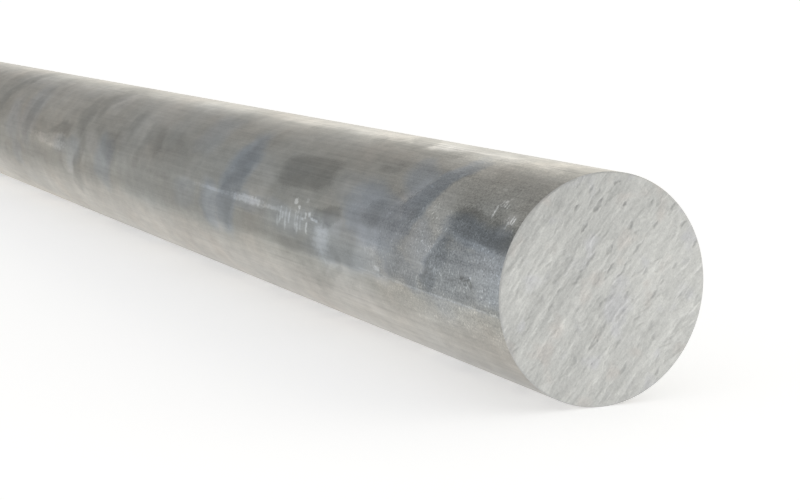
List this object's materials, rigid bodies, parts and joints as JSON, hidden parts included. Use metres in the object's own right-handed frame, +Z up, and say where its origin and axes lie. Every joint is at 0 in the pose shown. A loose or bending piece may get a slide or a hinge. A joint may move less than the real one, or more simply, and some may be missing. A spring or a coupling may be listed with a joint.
{
  "type": "round metal bar",
  "caption": "Solid round aluminium bar stock with a mill-finish side and square sawn ends, for machining or as a shaft, post or spacer.",
  "frame": {"origin": "on the floor, under the middle of the bar's length, where the bar touches it", "axes": "+X along the bar towards the sawn face that the picture shows, +Z up, with the bar lying on its side"},
  "size_m": [1, 0.05, 0.0498],
  "materials": {
    "mill_aluminium": "satin mill finish with grey handling stains; pale, coarsely sawn ends"
  },
  "bodies": {
    "root": {"round_bar": "mill_aluminium"}
  },
  "joints": []
}
